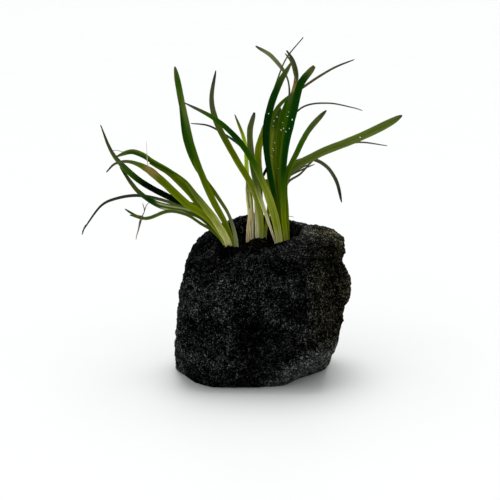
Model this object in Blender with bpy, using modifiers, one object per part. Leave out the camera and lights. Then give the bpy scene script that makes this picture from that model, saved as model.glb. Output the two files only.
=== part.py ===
"""Dwarf mondo grass planted in a hollow of a lava rock.

The finished solids are in metres, +Z is up and the front looks towards -Y. The origin is
in the middle of the flat face that the rock rests on. Lengths below are in millimetres.
"""

import math

import bmesh
import bpy
from mathutils import Vector, noise
from mathutils.geometry import interpolate_bezier

MM = 0.001

# Front drawing of the plant: where the eye is that the leaf routes were drawn from
EYE_DISTANCE = 600.0
EYE_ELEVATION = 13.0
DRAWING_CENTRE = (-5.2, 52.9)

# Lava rock
ROCK_CENTRE = (0.4, 0.0, 32.0)
ROCK_CELLS = 16
ROCK_EDGE_SHARPNESS = 24
ROCK_LUMPS = ((13.0, 1.2), (6.0, 0.9))
BASE_CUTTER_SIZE = 120.0

# Facets of the rock: the way each faces, as a vector, and its distance from the centre
ROCK_FACETS = (
    ((-0.998, 0.01, 0.056), 36.4),
    ((-0.983, 0.04, 0.179), 36.1),
    ((-0.755, 0.147, 0.638), 39.3),
    ((-0.470, 0.199, 0.860), 38.6),
    ((0.000, 0.480, 0.877), 38.1),
    ((0.200, 0.220, 0.955), 37.2),
    ((0.908, 0.095, 0.409), 42.3),
    ((1.000, 0.000, 0.000), 43.2),
    ((0.967, -0.057, -0.248), 37.9),
    ((0.983, -0.041, -0.179), 33.4),
    ((-0.05, -1.0, 0.03), 27.2),
    ((-0.80, -0.60, 0.06), 38.4),
    ((0.62, -0.78, 0.05), 35.6),
    ((0.00, -0.36, 0.93), 30.4),
    ((0.36, -0.50, 0.79), 37.2),
    ((-0.45, -0.35, 0.82), 29.8),
    ((0.499, -0.463, -0.733), 35.2),
    ((-0.72, -0.46, -0.52), 43.4),
    ((0.00, -0.80, -0.60), 35.0),
    ((0.00, 1.0, 0.05), 29.0),
    ((-0.62, 0.78, 0.12), 37.0),
    ((0.70, 0.70, -0.10), 39.0),
    ((0.10, 0.70, -0.70), 42.0),
    ((-0.40, 0.62, 0.68), 41.0),
    ((0.00, 0.00, -1.0), 37.0),
)

# Dents in the rock, or bulges where the depth is below zero: middle, half-sizes and depth
ROCK_DENTS = (
    ((37.0, -4.0, 50.0), (8.0, 20.0, 4.6), 7.4),
    ((37.0, -4.0, 41.0), (8.0, 17.0, 6.5), -2.5),
    ((19.0, 6.0, 66.0), (7.0, 14.0, 6.0), 1.8),
    ((16.5, -28.0, 46.0), (3.0, 12.0, 11.0), 1.8),
    ((-6.0, -28.0, 25.0), (12.0, 10.0, 9.0), 0.9),
    ((-30.0, 16.0, 36.0), (9.0, 9.0, 12.0), 2.2),
    ((18.0, 28.0, 30.0), (10.0, 10.0, 9.0), 2.5),
)

# Hollow in the top of the rock, and the growing medium that fills its lower part. A mound of
# the medium is its middle (across, back), height and size.
HOLLOW_CENTRE = (-1.3, 0.5)
HOLLOW_HALF_WIDTH = 16.9
HOLLOW_HALF_DEPTH = 12.8
HOLLOW_BOWL_DEPTH = 17.0
HOLLOW_FLARE = 0.06
HOLLOW_WAVINESS = 0.04
HOLLOW_SQUARENESS = 2.7
HOLLOW_TOP_RISE = 24.0
MEDIUM_LEVEL = 54.6
MEDIUM_MOUNDS = (
    (-3.4, -4.8, 4.6, 3.4), (1.4, -4.6, 4.4, 3.4), (-14.2, -10.3, 3.6, 2.7),
    (-8.0, -7.2, 2.6, 3.0), (8.4, -8.6, 4.4, 2.8))
FIT_GAP = 0.35

# Crowns, the short stem bases that the leaves grow from: middle and half-sizes, across and deep
CROWN_TOP = 54.4
CROWN_HEIGHT = 3.5
SOCKET_RISE = 12.0
CROWNS = {
    "crown_left": ((-12.7, -2.5), (3.8, 5.6)),
    "crown_centre": ((-2.5, 0.9), (4.6, 3.2)),
    "crown_right": ((8.9, -0.9), (4.5, 4.2)),
    "crown_back": ((8.3, 7.3), (4.2, 3.1)),
}

# Leaves
LEAF_THICKNESS = 0.5
LEAF_KEEL = 0.10
LEAF_STATION_SPACING = 6.5
LEAF_FOOT_WIDTH = 0.62
SWELL_TO = 0.35
BLUNT_TIP_FROM = 0.86
POINTED_TIP_FROM = 0.60
TIP_WIDTH = 0.2

# Each leaf: full width, turn of its face in degrees, its foot on the crown (across, back),
# and its route on the front drawing (across, up, back). Routes run from foot to tip.
LEAVES = {
    "leaf_left_tall": (2.9, 28, (-12.4, -2.6), (
        (-15.1, 62.7, -3.4), (-21.3, 74.4, -5.5), (-28.8, 92.5, -10.0), (-33.7, 111.5, -15.5),
        (-36.7, 126.8, -20.0), (-37.6, 131.9, -21.5))),
    "leaf_left_second": (2.1, 24, (-10.8, -0.6), (
        (-13.8, 66.7, -1.2), (-18.6, 74.9, -1.8), (-28.1, 88.2, -3.5), (-33.1, 100.2, -5.0),
        (-35.5, 114.4, -7.0))),
    "leaf_left_arch": (3.2, 30, (-13.4, -5.6), (
        (-18.9, 63.6, -6.8), (-24.3, 71.0, -7.2), (-28.4, 76.2, -7.2), (-32.6, 81.9, -7.2),
        (-40.0, 87.2, -7.0), (-47.6, 91.2, -6.6), (-51.4, 93.6, -6.0), (-56.3, 95.1, -4.4),
        (-62.9, 93.0, -2.6))),
    "leaf_left_inner_arch": (3.2, 25, (-13.2, -3.7), (
        (-22.6, 66.4, -4.2), (-27.3, 72.9, -4.4), (-33.3, 79.9, -4.5), (-40.2, 86.1, -4.4),
        (-48.4, 90.4, -4.1))),
    "leaf_left_withered": (3.3, 28, (-15.0, -4.6), (
        (-22.5, 65.8, -5.8), (-32.4, 72.7, -7.4), (-42.7, 82.1, -10.2), (-49.7, 87.8, -12.6),
        (-57.0, 90.8, -15.2), (-63.1, 90.0, -17.4), (-67.0, 86.3, -19.0))),
    "leaf_left_pointed": (2.6, 20, (-14.4, -1.6), (
        (-25.0, 69.5, -2.9), (-37.3, 74.4, -5.2), (-50.8, 81.4, -7.6), (-59.4, 88.5, -9.4),
        (-64.8, 95.2, -10.6), (-69.5, 106.7, -12.0))),
    "leaf_left_low": (3.0, 24, (-15.0, -0.5), (
        (-24.5, 65.8, -1.4), (-32.4, 69.7, -1.8), (-44.7, 72.4, -2.2), (-53.5, 78.3, -1.8),
        (-61.1, 88.7, -1.0))),
    "leaf_left_drooping": (1.9, 60, (-12.9, 0.6), (
        (-23.2, 64.9, 0.8), (-32.4, 70.3, 1.4), (-43.5, 74.4, 3.0), (-54.6, 76.2, 6.0),
        (-64.8, 74.3, 9.5), (-69.8, 71.2, 11.5), (-77.4, 60.7, 14.0))),
    "leaf_left_lowest": (1.6, 40, (-15.4, -2.9), (
        (-19.9, 60.0, -3.5), (-26.3, 64.2, -4.8), (-32.6, 68.0, -6.4), (-40.3, 69.5, -9.0),
        (-49.7, 66.4, -13.0), (-57.0, 67.9, -16.0))),
    "sheath_left": (2.3, 10, (-14.2, -6.7), (
        (-16.3, 59.9, -7.3), (-19.7, 65.3, -7.8))),
    "leaf_centre_tall": (2.8, 24, (-0.6, 0.9), (
        (-0.6, 66.1, 0.6), (-3.8, 78.9, 0.0), (-12.2, 93.6, -1.4), (-19.8, 108.2, -3.4),
        (-21.8, 118.1, -4.6), (-19.9, 130.2, -5.5))),
    "leaf_centre_yellow": (1.9, 20, (-4.8, 2.6), (
        (-5.6, 72.2, 3.0), (-6.7, 88.2, 4.0), (-7.5, 99.3, 5.0), (-11.8, 111.3, 6.5))),
    "leaf_centre_olive": (3.1, -22, (-1.4, 2.8), (
        (-1.2, 72.2, 3.6), (-1.1, 85.1, 5.0), (-1.5, 96.1, 6.6), (0.9, 103.8, 8.4),
        (2.6, 109.6, 10.0))),
    "leaf_centre_short": (2.1, -10, (1.0, 2.2), (
        (1.5, 61.1, 2.3), (2.8, 70.0, 2.7), (3.2, 76.0, 3.1), (1.8, 83.4, 3.6))),
    "sheath_tan": (1.4, 15, (-6.3, -0.2), (
        (-6.1, 61.5, -0.6), (-5.6, 66.1, -0.8), (-5.3, 70.8, -1.0))),
    "sheath_pale_tall": (3.0, 5, (-4.2, 0.9), (
        (-4.3, 59.1, 0.8), (-4.8, 68.5, 0.9), (-5.6, 76.0, 1.1), (-6.4, 82.5, 1.3))),
    "sheath_pale_short": (1.7, 5, (-2.3, 1.8), (
        (-2.2, 59.4, 1.9), (-2.4, 68.0, 2.1), (-3.0, 76.5, 2.4))),
    "leaf_right_crossing": (3.3, 24, (7.4, -3.2), (
        (6.7, 61.5, -3.5), (3.6, 73.1, -4.4), (-2.6, 88.2, -6.2), (-9.7, 99.3, -8.4),
        (-19.8, 108.9, -11.2), (-33.4, 116.2, -14.0))),
    "leaf_right_brown": (2.8, 20, (5.9, -1.6), (
        (3.9, 61.5, -1.7), (-2.0, 78.9, -2.0), (-4.4, 91.5, -1.8), (-5.3, 104.0, -1.0),
        (-3.3, 112.1, 0.0))),
    "leaf_right_hair": (1.8, 68, (6.0, 5.6), (
        (4.3, 67.9, 6.4), (-1.7, 86.4, 8.4), (-8.2, 96.3, 10.4), (-15.9, 102.3, 12.8),
        (-23.0, 106.3, 15.2), (-30.7, 107.3, 18.0))),
    "leaf_right_dark": (3.2, -22, (8.9, -2.1), (
        (7.9, 66.1, -2.4), (4.1, 82.4, -3.0), (1.9, 97.6, -3.8), (2.6, 109.6, -4.4),
        (6.7, 122.8, -5.0), (12.4, 133.2, -5.4))),
    "leaf_right_blunt": (3.2, -22, (10.2, -3.9), (
        (9.4, 66.1, -4.7), (9.1, 81.7, -5.6), (10.3, 97.0, -6.8), (13.9, 113.1, -8.6),
        (16.6, 124.1, -10.0), (22.6, 132.0, -11.2))),
    "leaf_right_tan": (2.6, -20, (8.6, -0.7), (
        (9.2, 66.2, -0.5), (8.2, 83.0, -0.4), (9.7, 100.2, 0.2), (12.6, 116.1, 1.2),
        (14.8, 126.8, 2.2), (13.6, 134.0, 3.2), (10.5, 138.8, 4.0))),
    "leaf_right_top": (2.2, -66, (6.6, 1.2), (
        (6.8, 66.2, 1.6), (4.5, 83.0, 2.4), (3.0, 100.2, 3.8), (3.7, 115.7, 5.6),
        (6.5, 125.3, 7.4), (10.4, 135.1, 9.6), (17.8, 144.4, 12.5))),
    "leaf_right_back_left": (2.0, 25, (9.4, 6.6), (
        (8.6, 68.4, 7.2), (7.7, 87.3, 8.4), (10.1, 106.6, 11.2), (11.4, 124.7, 14.0),
        (4.8, 135.4, 15.4), (-2.8, 140.6, 16.5))),
    "leaf_right_back_right": (2.6, -35, (6.6, 8.0), (
        (6.0, 67.9, 8.8), (3.0, 85.1, 10.8), (2.8, 102.3, 13.6), (7.2, 114.6, 16.2),
        (17.3, 122.6, 19.0), (30.5, 131.0, 22.0), (39.7, 134.8, 24.0))),
    "leaf_right_middle": (3.5, 15, (7.8, 2.6), (
        (7.2, 73.1, 4.6), (4.6, 89.9, 6.9), (4.9, 103.5, 8.9), (7.8, 114.2, 10.6))),
    "leaf_right_inner": (3.0, -12, (9.4, 0.9), (
        (8.6, 72.2, 2.6), (7.6, 91.6, 3.3), (8.1, 106.6, 4.2), (10.9, 117.6, 5.2))),
    "leaf_right_thin_arch": (1.4, -70, (10.8, 9.1), (
        (9.6, 67.9, 10.8), (9.0, 87.3, 14.2), (11.0, 105.3, 17.4), (17.1, 114.0, 19.4),
        (28.3, 116.0, 21.4), (39.3, 114.0, 23.0), (43.2, 112.8, 23.6))),
    "leaf_right_forward": (2.4, -25, (10.7, -2.3), (
        (10.5, 67.9, -3.0), (10.2, 83.0, -3.9), (14.7, 94.1, -6.0), (20.0, 104.2, -9.4),
        (27.7, 113.0, -14.5))),
    "leaf_right_long": (3.5, -26, (10.4, 0.1), (
        (10.0, 67.9, 1.0), (10.5, 84.5, 1.3), (23.0, 93.5, -2.0), (40.5, 100.7, -7.0),
        (53.7, 106.9, -11.5), (60.3, 110.8, -14.0))),
    "leaf_right_thin": (1.5, -70, (11.2, 2.1), (
        (10.6, 67.9, 2.9), (10.7, 81.0, 3.6), (16.4, 85.4, 4.2), (23.4, 92.4, 4.4),
        (39.3, 98.9, 4.0), (53.9, 97.7, 3.0))),
    "leaf_right_drooping": (1.7, -30, (8.4, 8.5), (
        (8.2, 69.2, 9.1), (9.8, 86.4, 10.6), (18.5, 92.0, 10.9), (26.5, 89.7, 11.4),
        (31.8, 82.7, 12.2), (34.2, 73.3, 12.8))),
    "leaf_right_small": (1.3, -40, (11.4, 5.9), (
        (10.1, 67.9, 5.7), (10.2, 82.6, 6.2), (15.6, 87.5, 7.4), (20.8, 90.0, 7.8))),
}

POINTED = (
    "leaf_left_drooping", "leaf_centre_tall", "leaf_centre_yellow", "leaf_right_hair",
    "leaf_right_thin_arch", "leaf_right_thin", "leaf_right_small")
SHEATHS = ("sheath_left", "sheath_tan", "sheath_pale_tall", "sheath_pale_short")

# Leaves that widen and narrow in a way of their own, where they twist or have dried: shares
# of the length, each with its share of the full width
LEAF_PROFILES = {
    "leaf_left_second": (
        (0.0, 0.85), (0.12, 0.80), (0.25, 0.64), (0.35, 0.75), (0.5, 0.95), (0.7, 1.0),
        (0.85, 0.75), (1.0, 0.2)),
    "leaf_left_arch": (
        (0.0, 0.62), (0.15, 0.95), (0.30, 1.0), (0.40, 0.80), (0.50, 0.50), (0.62, 0.44),
        (0.72, 0.58), (0.80, 0.76), (0.86, 0.78), (0.94, 0.60), (1.0, 0.2)),
    "leaf_left_inner_arch": (
        (0.0, 0.52), (0.14, 0.58), (0.3, 0.92), (0.5, 1.0), (0.75, 0.95), (0.9, 0.65), (1.0, 0.3)),
    "leaf_left_withered": (
        (0.0, 0.55), (0.3, 0.9), (0.5, 1.0), (0.70, 1.05), (0.76, 0.76), (0.83, 0.48),
        (0.90, 0.35), (0.96, 0.26), (1.0, 0.15)),
    "leaf_left_pointed": (
        (0.0, 0.62), (0.35, 0.9), (0.5, 1.0), (0.66, 1.0), (0.74, 0.95), (0.82, 0.68),
        (0.86, 0.57), (0.93, 0.42), (1.0, 0.15)),
    "leaf_left_low": (
        (0.0, 0.5), (0.3, 0.8), (0.45, 1.0), (0.6, 0.95), (0.72, 0.7), (0.85, 0.62),
        (0.95, 0.45), (1.0, 0.2)),
    "leaf_left_lowest": (
        (0.0, 0.65), (0.2, 0.85), (0.5, 0.85), (0.7, 1.1), (0.85, 1.0), (0.95, 0.6), (1.0, 0.25)),
    "leaf_centre_short": (
        (0.0, 0.62), (0.3, 0.65), (0.6, 0.8), (0.85, 1.0), (0.95, 0.8), (1.0, 0.4)),
    "sheath_pale_tall": (
        (0.0, 0.50), (0.3, 0.55), (0.5, 0.8), (0.75, 1.0), (0.9, 0.75), (1.0, 0.3)),
    "leaf_right_crossing": (
        (0.0, 0.72), (0.1, 0.88), (0.2, 1.03), (0.3, 1.0), (0.4, 0.87), (0.55, 0.80),
        (0.7, 0.75), (0.85, 0.58), (0.95, 0.35), (1.0, 0.13)),
    "leaf_right_brown": (
        (0.0, 0.32), (0.12, 0.32), (0.25, 0.46), (0.4, 0.72), (0.55, 0.92), (0.7, 1.0),
        (0.9, 0.95), (0.97, 0.7), (1.0, 0.3)),
    "leaf_right_dark": (
        (0.0, 0.35), (0.2, 0.38), (0.3, 0.54), (0.37, 0.75), (0.5, 0.82), (0.6, 1.0),
        (0.8, 1.0), (0.88, 0.9), (0.95, 0.7), (1.0, 0.3)),
    "leaf_right_blunt": (
        (0.0, 0.6), (0.25, 0.65), (0.4, 0.72), (0.55, 0.86), (0.65, 0.97), (0.8, 1.0),
        (0.93, 0.97), (0.975, 0.8), (1.0, 0.45)),
    "leaf_right_tan": (
        (0.0, 0.55), (0.35, 1.0), (0.75, 1.0), (0.82, 0.86), (0.9, 0.7), (0.96, 0.5), (1.0, 0.2)),
    "leaf_right_inner": (
        (0.0, 0.45), (0.25, 0.55), (0.4, 0.9), (0.55, 1.0), (0.9, 0.95), (1.0, 0.4)),
    "leaf_right_top": (
        (0.0, 0.6), (0.3, 0.9), (0.6, 0.9), (0.75, 0.6), (0.85, 0.42), (1.0, 0.2)),
    "leaf_right_back_left": (
        (0.0, 0.6), (0.3, 0.9), (0.6, 0.9), (0.70, 0.5), (0.77, 0.34), (0.80, 0.42),
        (0.84, 0.85), (0.88, 1.0), (0.93, 0.95), (0.975, 0.7), (1.0, 0.3)),
    "leaf_right_back_right": (
        (0.0, 0.5), (0.3, 0.75), (0.48, 0.95), (0.58, 0.9), (0.66, 0.6), (0.74, 0.46),
        (0.85, 0.44), (0.95, 0.32), (1.0, 0.15)),
}

# Leaves that differ from the plain green ones: material, colour and the leaves that have it
LEAF_TINTS = (
    ("leaf_olive", (0.080, 0.109, 0.009), (
        "leaf_right_crossing", "leaf_centre_yellow", "leaf_centre_olive", "leaf_right_middle",
        "leaf_right_forward", "leaf_right_top")),
    ("leaf_dark", (0.005, 0.021, 0.002), (
        "leaf_left_low", "leaf_left_drooping", "leaf_left_inner_arch", "leaf_right_dark",
        "leaf_right_inner", "leaf_right_thin_arch", "leaf_right_small")),
    ("leaf_brown", (0.102, 0.080, 0.026), ("leaf_right_brown", "leaf_right_tan")),
    ("leaf_sheath", (0.450, 0.420, 0.240), SHEATHS),
)


def clear_scene():
    for item in list(bpy.data.objects):
        bpy.data.objects.remove(item, do_unlink=True)


def make_collection(name):
    collection = bpy.data.collections.new(name)
    bpy.context.scene.collection.children.link(collection)
    return collection


def make_material(name, colour, roughness):
    material = bpy.data.materials.new(name)
    material.use_nodes = True
    shader = material.node_tree.nodes["Principled BSDF"]
    shader.inputs["Base Color"].default_value = (*colour, 1.0)
    shader.inputs["Roughness"].default_value = roughness
    shader.inputs["Metallic"].default_value = 0.0
    material.diffuse_color = (*colour, 1.0)
    return material


def add_object(name, shape, collection, material=None):
    """Turn a bmesh drawn in millimetres into an object in metres."""
    bmesh.ops.scale(shape, vec=(MM, MM, MM), verts=shape.verts)
    mesh = bpy.data.meshes.new(name)
    shape.to_mesh(mesh)
    shape.free()
    mesh.shade_smooth()
    item = bpy.data.objects.new(name, mesh)
    if material is not None:
        mesh.materials.append(material)
    collection.objects.link(item)
    return item


def add_cutter(name, shape, cutters):
    cutter = add_object(name, shape, cutters)
    cutter.hide_render = True
    cutter.display_type = "WIRE"
    return cutter


def cut(item, cutter):
    boolean = item.modifiers.new(cutter.name, "BOOLEAN")
    boolean.operation = "DIFFERENCE"
    boolean.solver = "EXACT"
    boolean.object = cutter


def facet_distance(direction):
    """Distance from the rock's centre to its surface, with the facets' edges rounded."""
    total = 0.0
    for facing, distance in ROCK_FACETS:
        reach = direction.dot(Vector(facing).normalized()) / distance
        if reach > 0.0:
            total += reach ** ROCK_EDGE_SHARPNESS
    return total ** (-1.0 / ROCK_EDGE_SHARPNESS)


def dent_depth(point):
    """How far the dents and bulges push the surface in at a point."""
    depth = 0.0
    for middle, half_size, deepest in ROCK_DENTS:
        offset = point - Vector(middle)
        spread = sum((offset[axis] / half_size[axis]) ** 2 for axis in range(3))
        depth += deepest * math.exp(-spread)
    return depth


def make_rock(collection, cutters, material):
    shape = bmesh.new()
    bmesh.ops.create_cube(shape, size=2.0)
    bmesh.ops.subdivide_edges(
        shape, edges=shape.edges[:], cuts=ROCK_CELLS - 1, use_grid_fill=True)
    centre = Vector(ROCK_CENTRE)
    for vertex in shape.verts:
        # Spread the cube's cells evenly over a ball, then push them out to the facets
        direction = Vector([math.tan(axis * math.pi / 4) for axis in vertex.co]).normalized()
        radius = facet_distance(direction)
        point = centre + direction * radius
        relief = sum(noise.noise(point / size) * height for size, height in ROCK_LUMPS)
        vertex.co = point + direction * (relief - dent_depth(point))
    rock = add_object("lava_rock", shape, collection, material)
    below = bmesh.new()
    bmesh.ops.create_cube(below, size=BASE_CUTTER_SIZE)
    bmesh.ops.translate(below, vec=(0.0, 0.0, -BASE_CUTTER_SIZE / 2), verts=below.verts)
    cut(rock, add_cutter("base_cutter", below, cutters))
    hollow = make_bowl(0.0, top_rise=HOLLOW_TOP_RISE)
    cut(rock, add_cutter("hollow_cutter", hollow, cutters))


def make_bowl(inset, top_rise=None):
    """A bowl-shaped plug for the hollow, drawn in by a gap.

    Its upper half is stretched up by top_rise, or becomes the bumpy top of the medium.
    """
    shape = bmesh.new()
    bmesh.ops.create_uvsphere(shape, u_segments=28, v_segments=14, radius=1.0)
    for vertex in shape.verts:
        unit = vertex.co.copy()
        around = math.atan2(unit.y, unit.x)
        wave = 1.0 + HOLLOW_WAVINESS * math.sin(3.0 * around + 0.6)
        wave *= squareness(around)
        if top_rise is not None and unit.z > 0.0:
            level = unit.z
            flat = max(math.hypot(unit.x, unit.y), 0.001)
            spread = (1.0 + HOLLOW_FLARE * level) * min(1.0, (1.0 - level) * 6.0) / flat
            unit.x *= spread
            unit.y *= spread
        x = HOLLOW_CENTRE[0] + unit.x * (HOLLOW_HALF_WIDTH * wave - inset)
        y = HOLLOW_CENTRE[1] + unit.y * (HOLLOW_HALF_DEPTH * wave - inset)
        if unit.z <= 0.0001:
            z = MEDIUM_LEVEL + unit.z * (HOLLOW_BOWL_DEPTH - inset)
        elif top_rise is not None:
            z = MEDIUM_LEVEL + unit.z * top_rise
        else:
            z = medium_top(x, y)
        vertex.co = (x, y, z)
    return shape


def squareness(around):
    """How far a squared-off oval stands outside a plain one, at an angle round it."""
    power = HOLLOW_SQUARENESS
    return (abs(math.cos(around)) ** power + abs(math.sin(around)) ** power) ** (-1.0 / power)


def medium_top(x, y):
    """Height of the growing medium: nearly level, with mounds along its front."""
    height = MEDIUM_LEVEL + 0.5 + 0.5 * noise.noise(Vector((x, y, 0.0)) / 3.5)
    for mound_x, mound_y, mound_height, mound_size in MEDIUM_MOUNDS:
        away = ((x - mound_x) ** 2 + (y - mound_y) ** 2) / mound_size ** 2
        height += mound_height * math.exp(-away)
    return height


def oval_post(middle, half_sizes, bottom, top):
    shape = bmesh.new()
    bmesh.ops.create_cone(
        shape, cap_ends=True, segments=18, radius1=1.0, radius2=1.0, depth=top - bottom)
    bmesh.ops.scale(shape, vec=(half_sizes[0], half_sizes[1], 1.0), verts=shape.verts)
    bmesh.ops.translate(
        shape, vec=(middle[0], middle[1], (top + bottom) / 2), verts=shape.verts)
    return shape


def make_crowns(medium, collection, cutters, material):
    for name, (middle, half_sizes) in CROWNS.items():
        bottom = CROWN_TOP - CROWN_HEIGHT
        post = oval_post(middle, half_sizes, bottom, CROWN_TOP)
        add_object(name, post, collection, material)
        roomy = (half_sizes[0] + FIT_GAP, half_sizes[1] + FIT_GAP)
        socket = oval_post(middle, roomy, bottom - FIT_GAP, CROWN_TOP + SOCKET_RISE)
        cut(medium, add_cutter(name + "_socket", socket, cutters))


def seen(across, up, back):
    """Point at a given depth that shows at a given place on the front drawing."""
    tilt = math.radians(EYE_ELEVATION)
    upward = Vector((0.0, math.sin(tilt), math.cos(tilt)))
    away = Vector((0.0, math.cos(tilt), -math.sin(tilt)))
    sideways = Vector((1.0, 0.0, 0.0))
    middle = sideways * DRAWING_CENTRE[0] + upward * DRAWING_CENTRE[1]
    eye = middle - away * EYE_DISTANCE
    drawn = sideways * across + upward * up
    return eye + (drawn - eye) * ((back - eye.y) / (drawn.y - eye.y))


def smooth_route(knots, pieces):
    """Points evenly spaced along one smooth curve that leaves the first knot upwards."""
    ways = [Vector((0.0, 0.0, 1.0))]
    for before, after in zip(knots, knots[2:]):
        ways.append((after - before).normalized())
    ways.append((knots[-1] - knots[-2]).normalized())
    fine = [knots[0]]
    for index in range(len(knots) - 1):
        start, end = knots[index], knots[index + 1]
        handle = (end - start).length / 3.0
        curve = interpolate_bezier(
            start, start + ways[index] * handle, end - ways[index + 1] * handle, end, 17)
        fine.extend(curve[1:])
    lengths = [0.0]
    for before, after in zip(fine, fine[1:]):
        lengths.append(lengths[-1] + (after - before).length)
    points = []
    index = 0
    for step in range(pieces + 1):
        target = lengths[-1] * step / pieces
        while index < len(fine) - 2 and lengths[index + 1] < target:
            index += 1
        share = (target - lengths[index]) / (lengths[index + 1] - lengths[index])
        points.append(fine[index].lerp(fine[index + 1], share))
    return points


def ease(value):
    value = min(max(value, 0.0), 1.0)
    return value * value * (3.0 - 2.0 * value)


def leaf_half_width(name, width, share):
    """Half the blade's width at a share of its length, narrow at the foot and the tip."""
    profile = LEAF_PROFILES.get(name, ())
    for (low, first), (high, second) in zip(profile, profile[1:]):
        if share <= high:
            return width * 0.5 * (first + (second - first) * (share - low) / (high - low))
    swell = LEAF_FOOT_WIDTH + (1.0 - LEAF_FOOT_WIDTH) * ease(share / SWELL_TO)
    taper_from = POINTED_TIP_FROM if name in POINTED + SHEATHS else BLUNT_TIP_FROM
    taper = max((share - taper_from) / (1.0 - taper_from), 0.0)
    return width * 0.5 * swell * max(math.sqrt(1.0 - taper ** 2), TIP_WIDTH)


def make_leaf(name, leaf, collection, material):
    width, turn, foot, route = leaf
    foot_height = CROWN_TOP + FIT_GAP
    knots = [Vector((foot[0], foot[1], foot_height))] + [seen(*knot) for knot in route]
    length = sum((after - before).length for before, after in zip(knots, knots[1:]))
    pieces = max(4, round(length / LEAF_STATION_SPACING))
    points = smooth_route(knots, pieces)

    shape = bmesh.new()
    bmesh.ops.create_grid(shape, x_segments=pieces, y_segments=2, size=1.0)
    towards_eye = Vector((0.0, -1.0, 0.0))
    for vertex in shape.verts:
        station = round((vertex.co.x + 1.0) / 2.0 * pieces)
        side = vertex.co.y
        if station == 0:
            along = Vector((0.0, 0.0, 1.0))
        else:
            following = points[min(station + 1, pieces)]
            along = (following - points[station - 1]).normalized()
        share = station / pieces
        angle = math.radians(turn) * ease(share / 0.5)
        level = along.cross(towards_eye).normalized()
        across = level * math.cos(angle) - level.cross(along) * math.sin(angle)
        face = across.cross(along)
        half = leaf_half_width(name, width, share)
        lift = abs(side) * LEAF_KEEL * 2.0 * half
        vertex.co = points[station] + across * side * half + face * lift
    blade = add_object(name, shape, collection, material)
    wall = blade.modifiers.new("thickness", "SOLIDIFY")
    wall.thickness = LEAF_THICKNESS * MM
    wall.offset = 0.0
    return blade


def build():
    clear_scene()
    parts = make_collection("dwarf_mondo_grass_on_lava_rock")
    cutters = make_collection("cutters")
    lava = make_material("lava", (0.020, 0.020, 0.019), 0.95)
    medium_dark = make_material("growing_medium", (0.018, 0.013, 0.010), 0.95)
    crown_pale = make_material("crown_tissue", (0.36, 0.33, 0.16), 0.60)
    leaf_green = make_material("leaf_green", (0.045, 0.090, 0.006), 0.45)
    tints = {}
    for tint, colour, names in LEAF_TINTS:
        material = make_material(tint, colour, 0.50)
        tints.update((name, material) for name in names)

    make_rock(parts, cutters, lava)
    medium = add_object("growing_medium", make_bowl(FIT_GAP), parts, medium_dark)
    make_crowns(medium, parts, cutters, crown_pale)
    for name, leaf in LEAVES.items():
        make_leaf(name, leaf, parts, tints.get(name, leaf_green))


build()
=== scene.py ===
import math
import random

import bpy
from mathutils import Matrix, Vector, noise
from mathutils.geometry import interpolate_bezier


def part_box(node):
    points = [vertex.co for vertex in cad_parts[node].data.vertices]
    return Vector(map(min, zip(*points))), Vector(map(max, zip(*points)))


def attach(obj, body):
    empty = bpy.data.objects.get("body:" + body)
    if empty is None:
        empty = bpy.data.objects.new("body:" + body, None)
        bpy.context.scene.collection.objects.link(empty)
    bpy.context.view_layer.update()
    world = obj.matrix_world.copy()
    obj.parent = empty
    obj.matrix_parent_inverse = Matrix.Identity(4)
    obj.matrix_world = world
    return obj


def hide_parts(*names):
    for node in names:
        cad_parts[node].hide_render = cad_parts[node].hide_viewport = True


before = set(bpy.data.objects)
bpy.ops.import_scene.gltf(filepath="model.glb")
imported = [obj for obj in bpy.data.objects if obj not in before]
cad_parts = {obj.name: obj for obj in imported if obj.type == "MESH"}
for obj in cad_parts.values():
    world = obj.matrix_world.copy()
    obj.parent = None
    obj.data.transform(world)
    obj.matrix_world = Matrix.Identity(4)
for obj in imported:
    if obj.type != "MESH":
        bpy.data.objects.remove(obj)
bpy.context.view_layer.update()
mm = 0.001
chance = random.Random(7)
print("frame loaded")


def tone(*screen):
    # red, green and blue as they are seen on screen, 0 to 255, made linear
    return tuple(((part / 255 + 0.055) / 1.055) ** 2.4 if part > 10 else part / 3294 for part in screen)


class Wire:
    # one output of a node, so that shader sums are written as sums
    def __init__(self, board, socket):
        self.board = board
        self.socket = socket

    def sum(self, operation, first, second):
        return self.board.node("Math", {"operation": operation}, {0: first, 1: second})

    def __add__(self, other):
        return self.sum("ADD", self, other)

    __radd__ = __add__

    def __sub__(self, other):
        return self.sum("SUBTRACT", self, other)

    def __rsub__(self, other):
        return self.sum("SUBTRACT", other, self)

    def __mul__(self, other):
        return self.sum("MULTIPLY", self, other)

    __rmul__ = __mul__

    def __truediv__(self, other):
        return self.sum("DIVIDE", self, other)

    def __pow__(self, other):
        return self.sum("POWER", self, other)


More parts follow.
